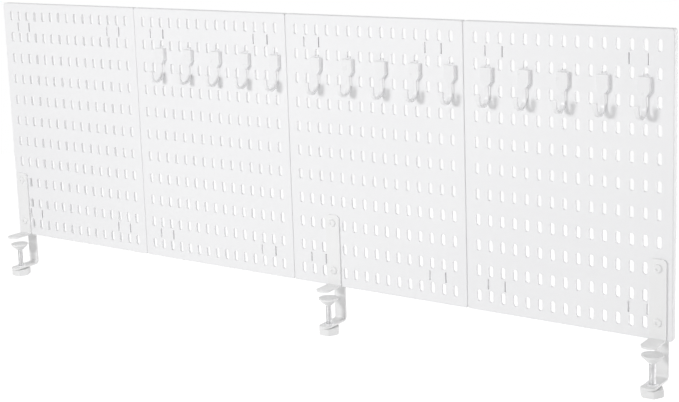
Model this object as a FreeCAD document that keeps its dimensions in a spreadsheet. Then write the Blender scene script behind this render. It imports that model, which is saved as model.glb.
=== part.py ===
import FreeCAD, Part
import math
import os
import re

import Sketcher
from FreeCAD import Rotation, Vector

# A desk-edge pegboard: a row of perforated panels with J hooks, held up by screw clamps.
# X runs along the row, Y from front to back, Z up. The origin is where the middle of the row meets the
# desk: Z = 0 is the desk top, and Y = 0 is the desk's rear edge, against the clamps' rear brackets.

SIZES = {
    # the row of panels
    "panels": 4,
    "panel_gap": 0.3,
    "board_lift": 0,
    # one panel and its grid of slots
    "columns": 15,
    "rows": 11,
    "column_pitch": 13,
    "row_pitch": 25,
    "side_margin": 13,
    "end_margin": 15,
    "slot_width": 4.4,
    "slot_height": 11,
    "face_thick": 2.5,
    "rim_depth": 7,
    "rim_wall": 2,
    "corner_radius": 2.5,
    "edge_round": 1.2,
    # stiffening ribs behind the face, one after every third column
    "rib_thick": 1.5,
    "rib_every": 3,
    "ribs": 4,
    # places for slide-in wall plates: two slits with a hooked rail behind each
    "lug_columns": 2.5,
    "slit_width": 1.6,
    "slit_height": 10.4,
    "slit_spread": 18.2,
    "rail_thick": 1.2,
    "rail_spare": 0.8,
    "rail_gap": 1.5,
    # clips over the neighbouring rims of two panels
    "clip_length": 20,
    "clip_thick": 1.5,
    "clip_depth": 4,
    "clip_inset": 62,
    # J hooks
    "hook_row": 2,
    "plate_width": 11.6,
    "plate_height": 12.5,
    "plate_over_slot": 3,
    "plate_taper_height": 4.8,
    "plate_reach": 5,
    "strip_reach": 3.4,
    "strip_width": 4.2,
    "strip_thick": 2.4,
    "bend_radius": 8.45,
    "bend_drop": 24.25,
    "lip_height": 4.25,
    "hook_round": 0.5,
    "plate_round": 0.8,
    "peg_height": 5,
    "peg_clearance": 0.2,
    "seat_clearance": 0.1,
    "tab_thick": 2,
    "tab_drop": 4,
    "tab_clearance": 0.3,
    # clamps: front bar with its tongue, rear bracket with its leg
    "clamp_top_row": 9,
    "clamp_foot_row": 11,
    "screw_over_slot": 2,
    "bar_over_screw": 8.5,
    "bar_width": 16,
    "bar_thick": 2,
    "bar_bend": 1.5,
    "bar_corner": 4,
    "bar_edge": 0.8,
    "tongue_length": 28,
    "bracket_width": 13.5,
    "bracket_thick": 2,
    "bracket_bend": 2.5,
    "leg_length": 26.5,
    "throat": 36.5,
    # M4 button-head screws, nuts and spacers
    "screw_size": 4,
    "screw_clearance": 0.3,
    "screw_length": 16,
    "head_size": 8,
    "head_height": 2.4,
    "head_round": 1.7,
    "key_size": 2.5,
    "key_depth": 0.8,
    "nut_flats": 7,
    "nut_height": 3.2,
    "spacer_size": 8,
    # M6 clamp screw
    "spindle_size": 6,
    "spindle_reach": 13.5,
    "spindle_clearance": 0.1,
    "bush_size": 8,
    "flange_size": 11,
    "flange_thick": 1,
    "jaw": 8.8,
    "pad_size": 20,
    "pad_rim": 1.6,
    "pad_height": 7,
    "hub_size": 9,
    "ball_size": 4.4,
    "ball_depth": 3.4,
    "ball_clearance": 0.1,
    "neck_size": 3.2,
    "neck_clearance": 0.3,
    "neck_length": 0.5,
    "knob_flats": 20,
    "knob_height": 7.5,
    "knob_clearance": 1,
    "knob_corner": 2.5,
    "knob_chamfer": 0.8,
    "knob_floor": 1,
}

WORKED_OUT = {
    "panel_width": "2 * side_margin + (columns - 1) * column_pitch",
    "panel_height": "2 * end_margin + (rows - 1) * row_pitch",
    "panel_step": "panel_width + panel_gap",
    "row_start": "-(panels * panel_step - panel_gap) / 2",
    "lug_across": "lug_columns * column_pitch",
    "lug_down": "end_margin + row_pitch / 2",
    "top_row_up": "board_lift + panel_height - end_margin",
    "screw_up": "top_row_up - (clamp_top_row - 1) * row_pitch + screw_over_slot",
    "foot_screw_up": "top_row_up - (clamp_foot_row - 1) * row_pitch + screw_over_slot",
    "strap_top": "screw_up + bar_over_screw",
    "bar_front": "-rim_depth - bar_thick",
    "spindle_y": "-rim_depth - spindle_reach",
    "leg_under": "-throat - bracket_thick",
    "pad_under": "-jaw - pad_height",
    "ball_centre": "pad_under + ball_depth",
    "knob_top": "leg_under - knob_clearance",
    "knob_under": "knob_top - knob_height",
}

# which hooks and clamps the row carries: panel number and slot column
HOOKS = [(panel, first + 3 * step) for panel, first in ((2, 3), (3, 3), (4, 2)) for step in range(5)]
CLAMPS = [(1, 1), (3, 4), (4, 15)]

doc = FreeCAD.newDocument("pegboard")
sheet = doc.addObject("Spreadsheet::Sheet", "Sizes")
for line, (alias, content) in enumerate(list(SIZES.items()) + list(WORKED_OUT.items()), start=1):
    sheet.set("A%d" % line, alias)
    sheet.set("B%d" % line, str(content) if alias in SIZES else "=" + content)
    sheet.setAlias("B%d" % line, alias)
doc.recompute()
probe = doc.addObject("App::FeaturePython", "Probe")
probe.addProperty("App::PropertyFloat", "value")
nodes = []


# ---------------------------------------------------------------- binding to the sheet

def bound(formula):
    """The formula with the sizes' names turned into references to the sheet."""
    def cell(word):
        known = word.group() in SIZES or word.group() in WORKED_OUT
        return "Sizes." + word.group() if known else word.group()
    return re.sub(r"[a-z_]+", cell, str(formula))


def number(formula):
    """The formula's present value."""
    probe.setExpression("value", bound(formula))
    probe.recompute()
    return probe.value


def bind(thing, **formulas):
    """Tie properties of a document object to formulas over the sheet."""
    for name, formula in formulas.items():
        thing.setExpression(name, bound(formula))


def place(thing, across="0", back="0", up="0", turn=None):
    """Tie the object's position to formulas, after turning it if asked."""
    if turn:
        thing.Placement = FreeCAD.Placement(Vector(0, 0, 0), turn)
    thing.setExpression(".Placement.Base.x", bound(across))
    thing.setExpression(".Placement.Base.y", bound(back))
    thing.setExpression(".Placement.Base.z", bound(up))


def column_across(panel, column):
    """X of a slot column."""
    return "(row_start + %d * panel_step + side_margin + %d * column_pitch)" % (panel - 1, column - 1)


def keep(thing, name):
    """Mark the object as a sub-part and name it."""
    thing.Label = name
    nodes.append(thing)
    return thing


# ---------------------------------------------------------------- sketched features

def new_body(name):
    return keep(doc.addObject("PartDesign::Body", name), name)


def sketch(body, name, plane, paths, lift="0"):
    """A sketch of closed paths on one of the body's own planes, lifted along that plane's normal.

    A path is a list of corners, each (across, up). Where an arc leaves a corner, the corner also gives
    the arc's centre and 1 for an anticlockwise arc or -1 for a clockwise one.
    """
    drawn = body.newObject("Sketcher::SketchObject", name)
    support = [feature for feature in body.Origin.OriginFeatures if feature.Role == plane]
    drawn.AttachmentSupport = [(support[0], "")]
    drawn.MapMode = "FlatFace"
    drawn.setExpression(".AttachmentOffset.Base.z", bound(lift))
    for path in paths:
        add_path(drawn, path)
    return drawn


def add_path(drawn, path):
    corners = [Vector(number(corner[0]), number(corner[1]), 0) for corner in path]
    first = drawn.GeometryCount
    starts = []
    for index, corner in enumerate(path):
        here = corners[index]
        there = corners[(index + 1) % len(path)]
        if len(corner) == 2:
            drawn.addGeometry(Part.LineSegment(here, there), False)
            starts.append(1)
            continue
        centre = Vector(number(corner[2]), number(corner[3]), 0)
        ends = (here, there) if corner[4] > 0 else (there, here)
        angles = [math.atan2(end.y - centre.y, end.x - centre.x) for end in ends]
        if angles[1] <= angles[0]:
            angles[1] += 2 * math.pi
        circle = Part.Circle(centre, Vector(0, 0, 1), (here - centre).Length)
        drawn.addGeometry(Part.ArcOfCircle(circle, angles[0], angles[1]), False)
        starts.append(1 if corner[4] > 0 else 2)
        tie(drawn, "DistanceY", first + index, 3, corner[3])
    for index, corner in enumerate(path):
        following = (index + 1) % len(path)
        ends_at = 3 - starts[index]
        drawn.addConstraint(Sketcher.Constraint("Coincident", first + index, ends_at,
                                                first + following, starts[following]))
        tie(drawn, "DistanceX", first + index, starts[index], corner[0])
        tie(drawn, "DistanceY", first + index, starts[index], corner[1])


def tie(drawn, kind, geometry, point, formula):
    """Hold one coordinate of a sketch point to a formula."""
    constraint = Sketcher.Constraint(kind, -1, 1, geometry, point, number(formula))
    index = drawn.addConstraint(constraint)
    drawn.setExpression("Constraints[%d]" % index, bound(formula))


def rectangle(left, low, right, high):
    return [(left, low), (right, low), (right, high), (left, high)]


def rounded(left, low, right, high, radius):
    """A rectangle with rounded corners."""
    inner_left, inner_low = left + " + " + radius, low + " + " + radius
    inner_right, inner_high = right + " - " + radius, high + " - " + radius
    return [(inner_left, low), (inner_right, low, inner_right, inner_low, 1),
            (right, inner_low), (right, inner_high, inner_right, inner_high, 1),
            (inner_right, high), (inner_left, high, inner_left, inner_high, 1),
            (left, inner_high), (left, inner_low, inner_left, inner_low, 1)]


def pill(across, low, high, width):
    """An upright slot with round ends."""
    left, right = "%s - (%s) / 2" % (across, width), "%s + (%s) / 2" % (across, width)
    foot, head = "%s + (%s) / 2" % (low, width), "%s - (%s) / 2" % (high, width)
    return [(left, foot, across, foot, 1), (right, foot), (right, head, across, head, 1), (left, head)]


def pad(body, drawn, length, reverse=False, midplane=False):
    feature = body.newObject("PartDesign::Pad", drawn.Name + "_pad")
    feature.Profile = drawn
    feature.Reversed = reverse
    feature.Midplane = midplane
    bind(feature, Length=length)
    return feature


def pocket(body, drawn, length=None):
    """Cut the sketch away, against the sketch's normal; through everything where no length is given."""
    feature = body.newObject("PartDesign::Pocket", drawn.Name + "_cut")
    feature.Profile = drawn
    if length:
        bind(feature, Length=length)
    else:
        feature.Type = "ThroughAll"
    return feature


def repeat(body, originals, drawn, across, across_count, up=None, up_count=None):
    """Repeat features along the sketch's axes, over the given lengths."""
    feature = body.newObject("PartDesign::LinearPattern", originals[0].Name + "_row")
    feature.Originals = originals
    feature.Direction = (drawn, ["H_Axis"])
    bind(feature, Length=across, Occurrences=across_count)
    if up:
        feature.Direction2 = (drawn, ["V_Axis"])
        bind(feature, Length2=up, Occurrences2=up_count)
    body.Tip = feature
    return feature


def soften(body, kind, base, size, wanted):
    """Fillet or chamfer the edges of the base feature that the test picks."""
    doc.recompute()
    picked = ["Edge%d" % (index + 1) for index, edge in enumerate(base.Shape.Edges) if wanted(edge)]
    feature = body.newObject("PartDesign::" + kind, base.Name + "_" + kind.lower())
    feature.Base = (base, picked)
    bind(feature, **{"Size" if kind == "Chamfer" else "Radius": size})
    return feature


def runs_along(edge, axis):
    """True for an edge whose ends differ along that axis only."""
    reach = edge.BoundBox
    spans = {"x": reach.XLength, "y": reach.YLength, "z": reach.ZLength}
    return spans.pop(axis) > 1e-6 and max(spans.values()) < 1e-6


# ---------------------------------------------------------------- primitives

def primitive(kind, name, **formulas):
    thing = doc.addObject("Part::" + kind, name)
    bind(thing, **formulas)
    return thing


def cut(name, base, tool):
    thing = doc.addObject("Part::Cut", name)
    thing.Base = base
    thing.Tool = tool
    return thing


def fuse(name, shapes):
    thing = doc.addObject("Part::MultiFuse", name)
    thing.Shapes = shapes
    return thing


def group(name, links):
    """Loose copies of a fastener kept together as one sub-part."""
    thing = doc.addObject("Part::Compound", name)
    thing.Links = links
    return thing


BACKWARD = Rotation(Vector(1, 0, 0), -90)


# ---------------------------------------------------------------- panels

def make_panel(index):
    """A perforated face with a folded rim. Its own origin is the face's lower left corner."""
    body = new_body("panel_%d" % index)
    outer = sketch(body, "outer", "XZ_Plane",
                   [rounded("0", "0", "panel_width", "panel_height", "corner_radius")])
    block = pad(body, outer, "rim_depth", reverse=True)
    soften(body, "Fillet", block, "edge_round", lambda edge: edge.BoundBox.YMax < 1e-6)

    cavity = sketch(body, "cavity", "XZ_Plane",
                    [rectangle("rim_wall", "rim_wall", "panel_width - rim_wall", "panel_height - rim_wall")],
                    lift="-face_thick")
    pocket(body, cavity)

    rib_middle = "side_margin + (rib_every - 0.5) * column_pitch"
    rib = sketch(body, "rib", "XZ_Plane",
                 [rectangle(rib_middle + " - rib_thick / 2", "rim_wall / 2",
                            rib_middle + " + rib_thick / 2", "panel_height - rim_wall / 2")],
                 lift="-face_thick")
    first_rib = pad(body, rib, "rim_depth - face_thick", reverse=True)
    repeat(body, [first_rib], rib, "(ribs - 1) * rib_every * column_pitch", "ribs")

    add_lugs(body)
    slot = sketch(body, "slot", "XZ_Plane",
                  [pill("side_margin", "end_margin - slot_height / 2", "end_margin + slot_height / 2",
                        "slot_width")])
    first_slot = pocket(body, slot)
    repeat(body, [first_slot], slot, "(columns - 1) * column_pitch", "columns",
           "(rows - 1) * row_pitch", "rows")
    place(body, "row_start + %d * panel_step" % (index - 1), "-rim_depth", "board_lift")


def add_lugs(body):
    """Pairs of slits with a hooked rail behind each, near the panel's four corners."""
    slits, walls, lips = [], [], []
    low, high = "lug_down - slit_height / 2", "lug_down + slit_height / 2"
    rail_low, rail_high = low + " - rail_spare", high + " + rail_spare"
    for side in ("-", "+"):
        middle = "lug_across %s slit_spread / 2" % side
        inner, outer = middle + " - slit_width / 2", middle + " + slit_width / 2"
        slits.append(rectangle(inner, low, outer, high))
        if side == "-":
            walls.append(rectangle(inner + " - rail_thick", rail_low, inner, rail_high))
            lips.append(rectangle(inner + " - rail_thick", rail_low, outer, rail_high))
        else:
            walls.append(rectangle(outer, rail_low, outer + " + rail_thick", rail_high))
            lips.append(rectangle(inner, rail_low, outer + " + rail_thick", rail_high))
    slit = sketch(body, "slit", "XZ_Plane", slits)
    wall = sketch(body, "rail_wall", "XZ_Plane", walls, lift="-face_thick")
    lip = sketch(body, "rail_lip", "XZ_Plane", lips, lift="-face_thick - rail_gap")
    features = [pocket(body, slit),
                pad(body, wall, "rail_gap + rail_thick", reverse=True),
                pad(body, lip, "rail_thick", reverse=True)]
    repeat(body, features, slit, "panel_width - 2 * lug_across", "2", "panel_height - 2 * lug_down", "2")


def make_clip(seam, letter, up):
    """A channel pressed over the neighbouring rims of two panels."""
    body = new_body("seam_clip_%d%s" % (seam, letter))
    inner = "(panel_gap / 2 + rim_wall)"
    outer = inner + " + clip_thick"
    channel = sketch(body, "channel", "XY_Plane",
                     [[("-(%s)" % outer, "-clip_depth"), ("-" + inner, "-clip_depth"), ("-" + inner, "0"),
                       (inner, "0"), (inner, "-clip_depth"), (outer, "-clip_depth"),
                       (outer, "clip_thick"), ("-(%s)" % outer, "clip_thick")]])
    pad(body, channel, "clip_length", midplane=True)
    place(body, "row_start + %d * panel_step - panel_gap / 2" % seam, "0", up)


# ---------------------------------------------------------------- hooks

def make_hook(index, panel, column):
    """A J hook. Its own origin is the foot of its slot, on the face of the panel."""
    body = new_body("hook_%02d" % index)
    front, rear = "-strip_reach", "-strip_reach + strip_thick"
    centre = "-strip_reach + strip_thick / 2 - bend_radius"
    lip_front = centre + " - bend_radius - strip_thick / 2"
    lip_rear = lip_front + " + strip_thick"
    foot = "-bend_drop"
    lip_end = "lip_height - bend_drop - strip_thick / 2"
    strip = sketch(body, "strip", "YZ_Plane",
                   [[(rear, "plate_over_slot - plate_round"), (rear, foot, centre, foot, -1),
                     (lip_front, foot), (lip_front, lip_end, lip_front + " + strip_thick / 2", lip_end, -1),
                     (lip_rear, lip_end), (lip_rear, foot, centre, foot, 1),
                     (front, foot), (front, "plate_over_slot - plate_round")]])
    bent = pad(body, strip, "strip_width", midplane=True)
    soften(body, "Fillet", bent, "hook_round",
           lambda edge: edge.BoundBox.XLength < 1e-6 and edge.BoundBox.ZLength > 1e-6)

    half, waist = "plate_width / 2", "strip_width / 2"
    top = "plate_over_slot"
    shoulder = "plate_over_slot - plate_height"
    plate = sketch(body, "plate", "XZ_Plane",
                   [[("-" + half, shoulder), ("-" + waist, shoulder + " - plate_taper_height"),
                     (waist, shoulder + " - plate_taper_height"), (half, shoulder),
                     (half, top), ("-" + half, top)]])
    block = pad(body, plate, "plate_reach")
    soften(body, "Fillet", block, "plate_round", on_plate_front)

    peg_width = "slot_width - 2 * peg_clearance"
    peg_low = "seat_clearance"
    peg = sketch(body, "peg", "XZ_Plane",
                 [pill("0", peg_low, "(%s + peg_height)" % peg_low, peg_width)])
    pad(body, peg, "face_thick + tab_clearance + tab_thick", reverse=True)
    side = "slot_width / 2 - peg_clearance"
    tab = sketch(body, "tab", "XZ_Plane",
                 [rectangle("-(%s)" % side, "-tab_drop", side, peg_low + " + peg_height / 2")],
                 lift="-face_thick - tab_clearance")
    pad(body, tab, "tab_thick", reverse=True)
    place(body, column_across(panel, column), "-rim_depth",
          "top_row_up - (hook_row - 1) * row_pitch - slot_height / 2")


def on_plate_front(edge):
    """The top and side edges of the plate's front face."""
    reach = edge.BoundBox
    in_front = reach.YMax < -number("plate_reach") + 1e-6
    return in_front and reach.ZMin > number("plate_over_slot - plate_height") - 1e-6


# ---------------------------------------------------------------- clamps

def make_strap(name, across, rear, under, length, kind):
    """A flat strap that runs down behind or before the panel, bends forward and ends in a round tip.

    Its width, thickness and bend radius are the sizes of that kind.
    """
    body = new_body(name)
    width, thick, bend = kind + "_width", kind + "_thick", kind + "_bend"
    outer = "(%s + %s)" % (bend, thick)
    neck = "-rim_depth - %s + %s / 2" % (length, width)
    turn_y, turn_z = "%s - %s" % (rear, outer), "%s + %s" % (under, outer)
    profile = sketch(body, "profile", "YZ_Plane",
                     [[(rear, "strap_top"), ("%s - %s" % (rear, thick), "strap_top"),
                       ("%s - %s" % (rear, thick), turn_z, turn_y, turn_z, -1),
                       (turn_y, "%s + %s" % (under, thick)), (neck, "%s + %s" % (under, thick)),
                       (neck, under), (turn_y, under, turn_y, turn_z, 1), (rear, turn_z)]])
    strap = pad(body, profile, width, midplane=True)
    soften(body, "Fillet", strap, "bar_corner",
           lambda edge: runs_along(edge, "y") and edge.BoundBox.ZMax > number("strap_top") - 1e-6)
    if kind == "bar":
        soften(body, "Fillet", body.Tip, "bar_edge", in_bar_rear)
    half = width + " / 2"
    tip = sketch(body, "tip", "XY_Plane",
                 [[("-" + half, neck, "0", neck, 1), (half, neck)]], lift=under)
    pad(body, tip, thick)
    hole = "screw_size + screw_clearance"
    holes = sketch(body, "screw_holes", "XZ_Plane",
                   [round_hole("0", up, hole) for up in ("screw_up", "foot_screw_up")],
                   lift="%s - (%s)" % (thick, rear))
    pocket(body, holes, thick)
    place(body, across)
    return body


def in_bar_rear(edge):
    """The side, corner and top edges of the bar's rear face."""
    reach = edge.BoundBox
    in_rear = min(reach.YMin, reach.YMax) > -number("rim_depth") - 1e-6
    return in_rear and reach.ZMax > number("bar_bend + bar_thick") + 1e-6


def round_hole(across, up, size):
    """A circle as two half-circle arcs."""
    left, right = "%s - (%s) / 2" % (across, size), "%s + (%s) / 2" % (across, size)
    return [(left, up, across, up, 1), (right, up, across, up, 1)]


def make_screw(name, across, up):
    """A button-head screw, its head against the front bar."""
    head = primitive("Cylinder", name + "_head", Radius="head_size / 2", Height="head_height")
    place(head, "0", "0", "-head_height")
    domed = doc.addObject("Part::Fillet", name + "_dome")
    domed.Base = head
    doc.recompute()
    rims = [index + 1 for index, edge in enumerate(head.Shape.Edges)
            if edge.BoundBox.ZMax < -number("head_height") + 1e-6]
    domed.Edges = [(rim, number("head_round"), number("head_round")) for rim in rims]
    shank = primitive("Cylinder", name + "_shank", Radius="screw_size / 2", Height="screw_length")
    solid = fuse(name + "_solid", [domed, shank])
    key = primitive("Prism", name + "_key", Circumradius="key_size / 2 / cos(30)", Height="key_depth")
    key.Polygon = 6
    place(key, "0", "0", "-head_height")
    screw = cut(name, solid, key)
    place(screw, across, "bar_front", up, BACKWARD)
    return screw


def make_nut(name, across, up):
    blank = primitive("Prism", name + "_blank", Circumradius="nut_flats / 2 / cos(30)", Height="nut_height")
    blank.Polygon = 6
    bore = primitive("Cylinder", name + "_bore", Radius="screw_size / 2", Height="nut_height")
    nut = cut(name, blank, bore)
    place(nut, across, "bracket_thick", up, BACKWARD)
    return nut


def make_spacer(name, across, up):
    """A tube that fills the rim's depth round a screw."""
    tube = primitive("Cylinder", name + "_tube", Radius="spacer_size / 2", Height="rim_depth - face_thick")
    bore = primitive("Cylinder", name + "_bore", Radius="(screw_size + screw_clearance) / 2",
                     Height="rim_depth - face_thick")
    spacer = cut(name, tube, bore)
    place(spacer, across, "-rim_depth + face_thick", up, BACKWARD)
    return spacer


def make_bush(name, across):
    """The threaded bush in the leg, with a flange on top."""
    barrel = primitive("Cylinder", name + "_barrel", Radius="bush_size / 2", Height="bracket_thick")
    flange = primitive("Cylinder", name + "_flange", Radius="flange_size / 2", Height="flange_thick")
    place(flange, "0", "0", "bracket_thick")
    solid = fuse(name + "_solid", [barrel, flange])
    bore = primitive("Cylinder", name + "_bore", Radius="spindle_size / 2 + spindle_clearance / 2",
                     Height="bracket_thick + flange_thick")
    bush = keep(cut(name, solid, bore), name)
    place(bush, across, "spindle_y", "leg_under")


def make_pad(name, across):
    """The round pad: a flat rim, a cone below it and a socket for the spindle's ball."""
    rim = primitive("Cylinder", name + "_rim", Radius="pad_size / 2", Height="pad_rim")
    place(rim, "0", "0", "pad_height - pad_rim")
    cone = primitive("Cone", name + "_cone", Radius1="hub_size / 2", Radius2="pad_size / 2",
                     Height="pad_height - pad_rim")
    solid = fuse(name + "_solid", [rim, cone])
    socket = primitive("Sphere", name + "_socket", Radius="ball_size / 2 + ball_clearance")
    place(socket, "0", "0", "ball_depth")
    throat = primitive("Cylinder", name + "_throat", Radius="neck_size / 2 + neck_clearance",
                       Height="ball_depth")
    space = fuse(name + "_space", [socket, throat])
    swivel = keep(cut(name, solid, space), name)
    place(swivel, across, "spindle_y", "pad_under")


def make_spindle(name, across):
    """The clamp screw: a ball, a neck and a long thread that ends inside the knob."""
    ball = primitive("Sphere", name + "_ball", Radius="ball_size / 2")
    place(ball, "0", "0", "ball_centre")
    neck = primitive("Cylinder", name + "_neck", Radius="neck_size / 2", Height="ball_depth + neck_length")
    place(neck, "0", "0", "ball_centre - ball_depth - neck_length")
    length = "pad_under - neck_length - (knob_under + knob_floor)"
    thread = primitive("Cylinder", name + "_thread", Radius="spindle_size / 2", Height=length)
    place(thread, "0", "0", "knob_under + knob_floor")
    spindle = keep(fuse(name, [ball, neck, thread]), name)
    place(spindle, across, "spindle_y")


def make_knob(name, across):
    """A hexagonal knob with rounded corners and a blind bore for the spindle."""
    body = new_body(name)
    corner = "knob_flats / 2 / cos(30)"
    corners = [("%s * %d / 2" % (corner, side), "knob_flats / 2 * %d" % rise)
               for side, rise in ((2, 0), (1, 1), (-1, 1), (-2, 0), (-1, -1), (1, -1))]
    hexagon = sketch(body, "hexagon", "XY_Plane", [corners])
    block = pad(body, hexagon, "knob_height")
    smooth = soften(body, "Fillet", block, "knob_corner", lambda edge: runs_along(edge, "z"))
    soften(body, "Chamfer", smooth, "knob_chamfer", lambda edge: edge.BoundBox.ZLength < 1e-6)
    bore = sketch(body, "bore", "XY_Plane", [round_hole("0", "0", "spindle_size")], lift="knob_height")
    pocket(body, bore, "knob_height - knob_floor")
    place(body, across, "spindle_y", "knob_under")


def make_clamp(index, panel, column):
    across = column_across(panel, column)
    name = "clamp_%d_" % index
    make_strap(name + "front_bar", across, "-rim_depth", "0", "tongue_length", "bar")
    bracket = make_strap(name + "rear_bracket", across, "bracket_thick", "leg_under", "leg_length", "bracket")
    seat = sketch(bracket, "bush_seat", "XY_Plane", [round_hole("0", "spindle_y", "bush_size")],
                  lift="leg_under + bracket_thick")
    pocket(bracket, seat, "bracket_thick")
    for kind, make in (("screws", make_screw), ("nuts", make_nut), ("spacers", make_spacer)):
        pair = [make("%s%s_%d" % (name, kind, number_up), across, up)
                for number_up, up in ((1, "screw_up"), (2, "foot_screw_up"))]
        keep(group(name + kind, pair), name + kind)
    make_bush(name + "thread_bush", across)
    make_pad(name + "pad", across)
    make_spindle(name + "spindle", across)
    make_knob(name + "knob", across)


# ---------------------------------------------------------------- the whole

for panel_index in range(1, int(number("panels")) + 1):
    make_panel(panel_index)
for seam_index in range(1, int(number("panels"))):
    make_clip(seam_index, "a", "board_lift + clip_inset")
    make_clip(seam_index, "b", "board_lift + panel_height - clip_inset")
for hook_index, (hook_panel, hook_column) in enumerate(HOOKS, start=1):
    make_hook(hook_index, hook_panel, hook_column)
for clamp_index, (clamp_panel, clamp_column) in enumerate(CLAMPS, start=1):
    make_clamp(clamp_index, clamp_panel, clamp_column)

doc.recompute()
for thing in doc.Objects:
    if "Invalid" in thing.State or "Error" in thing.State:
        raise RuntimeError("%s failed: %s" % (thing.Label, thing.State))
for node in nodes:
    if node.Shape.isNull() or not node.Shape.isValid():
        raise RuntimeError("%s has no valid shape" % node.Label)

os.makedirs("parts", exist_ok=True)
for node in nodes:
    node.Shape.exportStep(os.path.join("parts", node.Label + ".step"))
    print(node.Label, len(node.Shape.Solids), round(node.Shape.Volume, 1))
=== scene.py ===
# %% [markdown]
# # A clamp-on desk pegboard
# Four perforated plastic panels stand in a row on the rear edge of a desk. Fifteen J hooks hang in their
# slots and three steel clamps hold the row. The frame gives every solid at its real size, in metres, with
# X along the row, Y to the rear and Z up. This lesson adds what the frame can't hold: the finishes, the cut
# thread of the clamp screws, the light and the camera.

import math

import bmesh
import bpy
from mathutils import Matrix, Vector


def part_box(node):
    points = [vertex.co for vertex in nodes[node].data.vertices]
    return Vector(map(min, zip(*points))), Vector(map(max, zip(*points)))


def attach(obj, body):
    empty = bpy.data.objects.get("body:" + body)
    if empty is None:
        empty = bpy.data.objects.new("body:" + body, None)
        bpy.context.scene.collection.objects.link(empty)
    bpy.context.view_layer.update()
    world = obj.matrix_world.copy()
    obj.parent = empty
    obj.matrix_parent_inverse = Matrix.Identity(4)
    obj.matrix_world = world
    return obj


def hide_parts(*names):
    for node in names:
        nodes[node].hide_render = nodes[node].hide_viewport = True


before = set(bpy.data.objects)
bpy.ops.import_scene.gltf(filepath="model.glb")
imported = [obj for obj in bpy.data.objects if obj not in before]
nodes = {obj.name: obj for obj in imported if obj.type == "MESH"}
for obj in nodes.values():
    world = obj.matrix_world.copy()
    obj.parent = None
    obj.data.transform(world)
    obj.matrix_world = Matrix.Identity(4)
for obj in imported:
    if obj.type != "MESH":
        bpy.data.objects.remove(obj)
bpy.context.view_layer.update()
MM = 0.001

# %% [markdown]
# ## Camera
# A long lens from the right and from a little above the board's top edge. Most of the way down to the
# board's middle is a dip of the camera, and the rest is a small shift of the lens, which keeps the uprights
# nearly upright. The angles are a turn to the left, a dip below level and a slight roll.

# %% Set the camera
CAMERA_PLACE = Vector((0.8745, -1.1611, 0.4252))
CAMERA_TURN = math.radians(35.07)
CAMERA_DIP = math.radians(10.05)
CAMERA_ROLL = math.radians(-1.92)
CAMERA_LENS = 75.54
CAMERA_SHIFT = (0.0, -0.12)
SENSOR_WIDTH = 36
NEAREST_SEEN = 0.01


def set_camera():
    lens = bpy.data.cameras.new("camera")
    lens.sensor_width = SENSOR_WIDTH
    lens.lens = CAMERA_LENS
    lens.shift_x, lens.shift_y = CAMERA_SHIFT
    lens.clip_start = NEAREST_SEEN
    camera = bpy.data.objects.new("camera", lens)
    turn = Matrix.Rotation(CAMERA_TURN, 4, "Z")
    dip = Matrix.Rotation(math.pi / 2 - CAMERA_DIP, 4, "X")
    roll = Matrix.Rotation(CAMERA_ROLL, 4, "Z")
    camera.matrix_world = Matrix.Translation(CAMERA_PLACE) @ turn @ dip @ roll
    bpy.context.scene.collection.objects.link(camera)
    bpy.context.scene.camera = camera
    return camera


camera = set_camera()
print("camera at", [round(value, 3) for value in camera.location])

# %% [markdown]
# ## Sky
# The board is shown free of any desk in a white studio. The sky lights it dimly and evenly from all round,
# but the camera, mirrors and glass should see the sky as plain white. A second, brighter world isn't
# possible, so a Light Path node tells those rays from the rest, and a Map Range turns that into a strength.

# %% Tell which rays see the background
def background_seen(tree):
    """1 for a ray of the camera, a mirror or glass, which should see the background, and 0 for others."""
    path = tree.nodes.new("ShaderNodeLightPath")
    mirrored = tree.nodes.new("ShaderNodeMath")
    mirrored.operation = "MAXIMUM"
    through = tree.nodes.new("ShaderNodeMath")
    through.operation = "MAXIMUM"
    tree.links.new(path.outputs["Is Camera Ray"], mirrored.inputs[0])
    tree.links.new(path.outputs["Is Glossy Ray"], mirrored.inputs[1])
    tree.links.new(mirrored.outputs[0], through.inputs[0])
    tree.links.new(path.outputs["Is Transmission Ray"], through.inputs[1])
    return through.outputs[0]


print("helper: background_seen")

# %% Set the sky and the view
SKY_LEVEL = 0.45
SHOWN_WHITE = 1.0


def set_sky():
    world = bpy.data.worlds.new("studio sky")
    bpy.context.scene.world = world
    world.use_nodes = True
    tree = world.node_tree
    tree.nodes.clear()
    level = tree.nodes.new("ShaderNodeMapRange")
    level.inputs["To Min"].default_value = SKY_LEVEL
    level.inputs["To Max"].default_value = SHOWN_WHITE
    back = tree.nodes.new("ShaderNodeBackground")
    back.inputs["Color"].default_value = (1, 1, 1, 1)
    out = tree.nodes.new("ShaderNodeOutputWorld")
    tree.links.new(background_seen(tree), level.inputs["Value"])
    tree.links.new(level.outputs["Result"], back.inputs["Strength"])
    tree.links.new(back.outputs["Background"], out.inputs["Surface"])


set_sky()
bpy.context.scene.view_settings.view_transform = "Standard"
print("sky level", SKY_LEVEL)

# %% [markdown]
# ## Softboxes
# A softbox is a sheet of cloth with a lamp behind it, and a disk-shaped area light does the same. A small key
# softbox, front left and a little above the board, draws the short shadows to the right of hooks and bars. A
# wide overhead panel lifts the top edges. A low fill from the front right lifts the foot of the panels and
# the clamps, and a fill far to the right lifts the board's right-hand end. A rear fill lights the ribs and
# the walls of the slots, which show through from the front. Each softbox has a place, a width and a power,
# and all of them face the board's middle.

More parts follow.
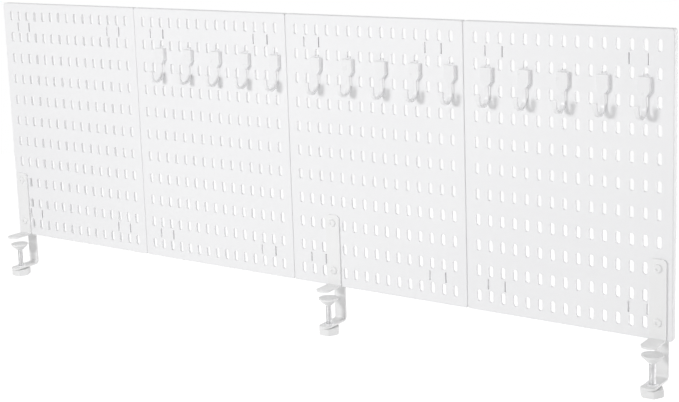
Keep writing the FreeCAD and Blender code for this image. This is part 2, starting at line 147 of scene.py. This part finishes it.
# %% Place the softboxes
BOARD_MIDDLE = Vector((0, 0, 0.14))
SOFTBOXES = {
    "key": (Vector((-0.36, -1.50, 0.57)), 0.36, 9.3),
    "overhead": (Vector((0.3, -0.6, 2.2)), 2.0, 4.4),
    "low_fill": (Vector((0.7, -1.2, -0.15)), 0.8, 1.7),
    "end_fill": (Vector((2.4, -0.3, 0.2)), 1.0, 5.5),
    "rear_fill": (Vector((1.2, 1.5, 0.4)), 1.5, 11.0),
}


def add_softbox(name, place, width, watts):
    lamp = bpy.data.lights.new(name, "AREA")
    lamp.shape = "DISK"
    lamp.size = width
    lamp.energy = watts
    box = bpy.data.objects.new(name, lamp)
    box.location = place
    box.rotation_euler = (BOARD_MIDDLE - place).to_track_quat("-Z", "Y").to_euler()
    bpy.context.scene.collection.objects.link(box)


for lamp_name, (lamp_place, lamp_width, lamp_watts) in SOFTBOXES.items():
    add_softbox(lamp_name, lamp_place, lamp_width, lamp_watts)
print("lamps:", ", ".join(SOFTBOXES))

# %% [markdown]
# ## Floor
# The floor is one flat sheet of matt white, well below the desk's height, so that the clamps hang free over
# it. It takes the board's shadow as any floor does. Far from the lamps it would look grey against the white
# sky, so the rays that see the background also see a little glow added to its paint. The glow lights
# nothing, because the rays that carry light between surfaces don't see it.

# %% Lay the floor
FLOOR_DROP = 0.25
FLOOR_REACH = (3.0, 2.6, 1.2)
FLOOR_PAINT = (0.9, 0.9, 0.9)
FLOOR_LIFT = 0.61


def paint_floor():
    finish = bpy.data.materials.new("studio floor")
    finish.use_nodes = True
    tree = finish.node_tree
    tree.nodes.clear()
    paint = tree.nodes.new("ShaderNodeBsdfDiffuse")
    paint.inputs["Color"].default_value = (*FLOOR_PAINT, 1)
    glow = tree.nodes.new("ShaderNodeEmission")
    lift = tree.nodes.new("ShaderNodeMath")
    lift.operation = "MULTIPLY"
    lift.inputs[1].default_value = FLOOR_LIFT
    both = tree.nodes.new("ShaderNodeAddShader")
    out = tree.nodes.new("ShaderNodeOutputMaterial")
    tree.links.new(background_seen(tree), lift.inputs[0])
    tree.links.new(lift.outputs[0], glow.inputs["Strength"])
    tree.links.new(paint.outputs[0], both.inputs[0])
    tree.links.new(glow.outputs[0], both.inputs[1])
    tree.links.new(both.outputs[0], out.inputs["Surface"])
    return finish


def add_floor():
    side, front, rear = FLOOR_REACH
    level = -FLOOR_DROP
    corners = [(-side, -front, level), (side, -front, level), (side, rear, level), (-side, rear, level)]
    mesh = bpy.data.meshes.new("floor")
    mesh.from_pydata(corners, [], [(0, 1, 2, 3)])
    floor = bpy.data.objects.new("floor", mesh)
    bpy.context.scene.collection.objects.link(floor)
    mesh.materials.append(paint_floor())


add_floor()
print("floor", FLOOR_DROP, "m below the desk top")

# %% [markdown]
# ## Shared effects
# Injection-moulded plastic, powder paint and turned steel all show the same kinds of unevenness at
# different scales: a fine grain that the mould or the spray leaves, smudges that are a little glossier or
# duller, and a slow drift of tone. A picture could carry them, but noise has no seams and stays sharp close
# up. Each effect is a node group, built once, and each material sets its own scale.

# %% Helpers for node groups
def new_group(name, sockets_in, sockets_out):
    """A shader node group. An input is a colour if its value is a tuple, and a number otherwise."""
    group = bpy.data.node_groups.new(name, "ShaderNodeTree")
    for socket, value in sockets_in:
        kind = "NodeSocketColor" if isinstance(value, tuple) else "NodeSocketFloat"
        made = group.interface.new_socket(socket, in_out="INPUT", socket_type=kind)
        made.default_value = value
    for socket, kind in sockets_out:
        group.interface.new_socket(socket, in_out="OUTPUT", socket_type=kind)
    return group, group.nodes.new("NodeGroupInput"), group.nodes.new("NodeGroupOutput")


def noise(tree, scale_from, detail):
    """A noise texture on object coordinates, its scale read from a socket."""
    place = tree.nodes.new("ShaderNodeTexCoord")
    texture = tree.nodes.new("ShaderNodeTexNoise")
    texture.inputs["Detail"].default_value = detail
    tree.links.new(place.outputs["Object"], texture.inputs["Vector"])
    tree.links.new(scale_from, texture.inputs["Scale"])
    return texture.outputs["Fac"]


def stretch(tree, value, middle_part):
    """A map that stretches the middle part of a noise, where nearly all of its values lie, to 0 to 1."""
    mapped = tree.nodes.new("ShaderNodeMapRange")
    mapped.inputs["From Min"].default_value = middle_part[0]
    mapped.inputs["From Max"].default_value = middle_part[1]
    tree.links.new(value, mapped.inputs["Value"])
    return mapped


print("helpers: new_group, noise, stretch")

# %% Fine grain and smudges
GRAIN_DETAIL = 3.0
SMUDGE_DETAIL = 4.0
SMUDGE_MIDDLE = (0.3, 0.7)


def make_grain():
    """Fine grain as a height for a bump, and a roughness that follows larger smudges."""
    group, given, result = new_group(
        "fine grain",
        [("Grain Scale", 2500.0), ("Smudge Scale", 30.0), ("Low Roughness", 0.4), ("High Roughness", 0.5)],
        [("Height", "NodeSocketFloat"), ("Roughness", "NodeSocketFloat")])
    fine = noise(group, given.outputs["Grain Scale"], GRAIN_DETAIL)
    smudge = noise(group, given.outputs["Smudge Scale"], SMUDGE_DETAIL)
    rough = stretch(group, smudge, SMUDGE_MIDDLE)
    group.links.new(given.outputs["Low Roughness"], rough.inputs["To Min"])
    group.links.new(given.outputs["High Roughness"], rough.inputs["To Max"])
    group.links.new(fine, result.inputs["Height"])
    group.links.new(rough.outputs["Result"], result.inputs["Roughness"])
    return group


GRAIN = make_grain()
print("group:", GRAIN.name)

# %% Slow tone
TONE_DETAIL = 3.0
TONE_MIDDLE = (0.35, 0.65)


def make_tone():
    """Slow drift between two nearly equal tones of one colour."""
    group, given, result = new_group(
        "slow tone",
        [("Tone Scale", 9.0), ("Base", (0.88, 0.88, 0.89, 1.0)), ("Drift", (0.86, 0.86, 0.87, 1.0))],
        [("Color", "NodeSocketColor")])
    share = stretch(group, noise(group, given.outputs["Tone Scale"], TONE_DETAIL), TONE_MIDDLE)
    mix = group.nodes.new("ShaderNodeMix")
    mix.data_type = "RGBA"
    group.links.new(share.outputs["Result"], mix.inputs["Factor"])
    group.links.new(given.outputs["Base"], mix.inputs["A"])
    group.links.new(given.outputs["Drift"], mix.inputs["B"])
    group.links.new(mix.outputs["Result"], result.inputs["Color"])
    return group


TONE = make_tone()
print("group:", TONE.name)

# %% [markdown]
# ## Finishes
# The panels are matt white plastic with a spark-eroded grain. The hooks are the same white but glossier,
# because a polished mould makes them. The clamps are folded steel with white powder paint, which has a
# faint orange peel. The clamp screws are bright turned steel, and the nuts and bushes are zinc plated. One
# helper makes them all from the two shared effects, so that each finish is only its own numbers.

# %% A helper for finishes
def new_finish(name, base, drift, tone_scale, grain_scale, grain_depth, roughness, metallic=0.0,
               coat=0.0, smudge_scale=30.0):
    """A material of one colour family, with slow tone, grain and smudges."""
    finish = bpy.data.materials.new(name)
    finish.use_nodes = True
    tree = finish.node_tree
    shader = tree.nodes["Principled BSDF"]
    tone = tree.nodes.new("ShaderNodeGroup")
    tone.node_tree = TONE
    tone.inputs["Tone Scale"].default_value = tone_scale
    tone.inputs["Base"].default_value = (*base, 1)
    tone.inputs["Drift"].default_value = (*drift, 1)
    grain = tree.nodes.new("ShaderNodeGroup")
    grain.node_tree = GRAIN
    grain.inputs["Grain Scale"].default_value = grain_scale
    grain.inputs["Smudge Scale"].default_value = smudge_scale
    grain.inputs["Low Roughness"].default_value = roughness[0]
    grain.inputs["High Roughness"].default_value = roughness[1]
    bump = tree.nodes.new("ShaderNodeBump")
    bump.inputs["Strength"].default_value = 1.0
    bump.inputs["Distance"].default_value = grain_depth
    shader.inputs["Metallic"].default_value = metallic
    shader.inputs["Coat Weight"].default_value = coat
    tree.links.new(tone.outputs["Color"], shader.inputs["Base Color"])
    tree.links.new(grain.outputs["Roughness"], shader.inputs["Roughness"])
    tree.links.new(grain.outputs["Height"], bump.inputs["Height"])
    tree.links.new(bump.outputs["Normal"], shader.inputs["Normal"])
    return finish


print("helper: new_finish")

# %% Mix the finishes
PANEL_PLASTIC = new_finish(
    "panel plastic", base=(0.885, 0.885, 0.893), drift=(0.872, 0.872, 0.882), tone_scale=7,
    grain_scale=2600, grain_depth=0.012 * MM, roughness=(0.46, 0.56))
HOOK_PLASTIC = new_finish(
    "hook plastic", base=(0.875, 0.875, 0.883), drift=(0.865, 0.865, 0.873), tone_scale=40,
    grain_scale=1800, grain_depth=0.004 * MM, roughness=(0.26, 0.36), smudge_scale=120.0)
KNOB_PLASTIC = new_finish(
    "knob plastic", base=(0.86, 0.86, 0.86), drift=(0.84, 0.84, 0.84), tone_scale=60,
    grain_scale=2200, grain_depth=0.015 * MM, roughness=(0.42, 0.55), smudge_scale=160.0)
CLAMP_PAINT = new_finish(
    "clamp powder paint", base=(0.87, 0.87, 0.87), drift=(0.855, 0.855, 0.855), tone_scale=30,
    grain_scale=900, grain_depth=0.010 * MM, roughness=(0.32, 0.42), coat=0.15, smudge_scale=80.0)
ZINC_PLATE = new_finish(
    "zinc plate", base=(0.80, 0.80, 0.81), drift=(0.76, 0.76, 0.77), tone_scale=250,
    grain_scale=1500, grain_depth=0.003 * MM, roughness=(0.42, 0.55), metallic=1.0, smudge_scale=300.0)
THREAD_STEEL = new_finish(
    "thread steel", base=(0.66, 0.66, 0.665), drift=(0.60, 0.60, 0.605), tone_scale=300,
    grain_scale=3000, grain_depth=0.002 * MM, roughness=(0.32, 0.42), metallic=1.0, smudge_scale=400.0)
print("finishes:", len(bpy.data.materials))

# %% [markdown]
# ## Who wears which finish
# The solids' names start or end with the kind of piece they are, so a short table of kinds is enough to
# dress all of them. The clips that join the panels are of the panels' plastic, and the spacers of the
# hooks'. The screw heads are painted like the clamps.

# %% Give each solid its finish
FINISH_OF = {
    "panel": PANEL_PLASTIC,
    "seam_clip": PANEL_PLASTIC,
    "hook": HOOK_PLASTIC,
    "front_bar": CLAMP_PAINT,
    "rear_bracket": CLAMP_PAINT,
    "screws": CLAMP_PAINT,
    "pad": CLAMP_PAINT,
    "knob": KNOB_PLASTIC,
    "nuts": ZINC_PLATE,
    "thread_bush": ZINC_PLATE,
    "spacers": HOOK_PLASTIC,
    "spindle": THREAD_STEEL,
}


def finish_for(name):
    """The finish of the solid whose name starts or ends with a kind of piece."""
    for kind, finish in FINISH_OF.items():
        if name.startswith(kind) or name.endswith(kind):
            return finish
    raise ValueError(name)


for node_name, solid in nodes.items():
    solid.data.materials.clear()
    solid.data.materials.append(finish_for(node_name))
print("finished", len(nodes), "solids")

# %% [markdown]
# ## Clamp screws
# A clamp screw has a ball that the pad turns on, a thin neck under it and a threaded shank. In the frame it
# is a plain rod, as its thread is too fine to cut there. A screw modifier would make an even helix, but not
# the ball and the neck in the same skin. Here it is turned as one grid of rings: the radius of each ring
# follows the ball, the neck and the shank, and on the shank it also follows a 1 mm thread that climbs once
# per turn, to the right.

# %% Shape the thread
THREAD_PITCH = 1.0 * MM
THREAD_DEPTH = 0.55 * MM
FLANK_GAIN = 1.25
CREST_FLAT = 0.125


def thread_cut(turns):
    """How deep the thread is cut, from 0 on the flat crest to 1 at the flat root, for a number of turns."""
    share = turns % 1.0
    wave = abs(2.0 * share - 1.0)
    return min(1.0, max(0.0, FLANK_GAIN * wave - CREST_FLAT))


print("cut at crest, flank and root:", [round(thread_cut(share), 2) for share in (0.5, 0.25, 0.0)])

# %% Shape the spindle
BALL_RADIUS = 2.2 * MM
NECK_RADIUS = 1.6 * MM
NECK_BELOW_BALL = 3.9 * MM
LEAD_IN = 1.0 * MM
LEAD_IN_START = 0.25
CHAMFER_SHARE = 0.6


def spindle_radius(height, angle, ball_centre, shank):
    """Radius at a height and an angle round the axis."""
    over_ball = height - ball_centre
    if abs(over_ball) < BALL_RADIUS:
        ball = math.sqrt(BALL_RADIUS ** 2 - over_ball ** 2)
    else:
        ball = 0.0
    if over_ball > 0:
        return ball
    if over_ball > -NECK_BELOW_BALL:
        return max(ball, NECK_RADIUS)
    turns = height / THREAD_PITCH - angle / (2 * math.pi)
    shank_top = ball_centre - NECK_BELOW_BALL
    fade = min(1.0, (shank_top - height) / LEAD_IN + LEAD_IN_START)
    return shank - THREAD_DEPTH * max(thread_cut(turns) * fade, CHAMFER_SHARE * (1.0 - fade))


print("thread", round(THREAD_DEPTH / MM, 2), "mm deep, ball", round(2 * BALL_RADIUS / MM, 1), "mm across")

# %% Turn a spindle
RINGS_PER_PITCH = 8
RING_POINTS = 40
SMALLEST_RADIUS = 0.02 * MM


def turn_spindle(name, node):
    """One closed skin of rings, from the foot of the node's box to its top."""
    low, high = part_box(node)
    axis = (low + high) / 2
    shank = (high.x - low.x) / 2
    ball_centre = high.z - BALL_RADIUS
    rings = int((high.z - low.z) / THREAD_PITCH * RINGS_PER_PITCH)
    made = bmesh.new()
    rows = []
    for ring in range(rings):
        height = low.z + (high.z - low.z) * ring / (rings - 1)
        row = []
        for point in range(RING_POINTS):
            angle = 2 * math.pi * point / RING_POINTS
            radius = max(spindle_radius(height, angle, ball_centre, shank), SMALLEST_RADIUS)
            row.append(made.verts.new((axis.x + radius * math.cos(angle),
                                       axis.y + radius * math.sin(angle), height)))
        rows.append(row)
    for lower, upper in zip(rows, rows[1:]):
        for point in range(RING_POINTS):
            following = (point + 1) % RING_POINTS
            made.faces.new((lower[point], lower[following], upper[following], upper[point]))
    made.faces.new(list(reversed(rows[0])))
    made.faces.new(rows[-1])
    mesh = bpy.data.meshes.new(name)
    made.to_mesh(mesh)
    made.free()
    for face in mesh.polygons:
        face.use_smooth = True
    mesh.materials.append(THREAD_STEEL)
    piece = bpy.data.objects.new(name, mesh)
    bpy.context.scene.collection.objects.link(piece)
    return piece


for clamp in (1, 2, 3):
    spindle = turn_spindle("clamp_%d_cut_thread" % clamp, "clamp_%d_spindle" % clamp)
    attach(spindle, "clamp_%d_screw_body" % clamp)
    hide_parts("clamp_%d_spindle" % clamp)
    print(spindle.name, len(spindle.data.vertices), "points")
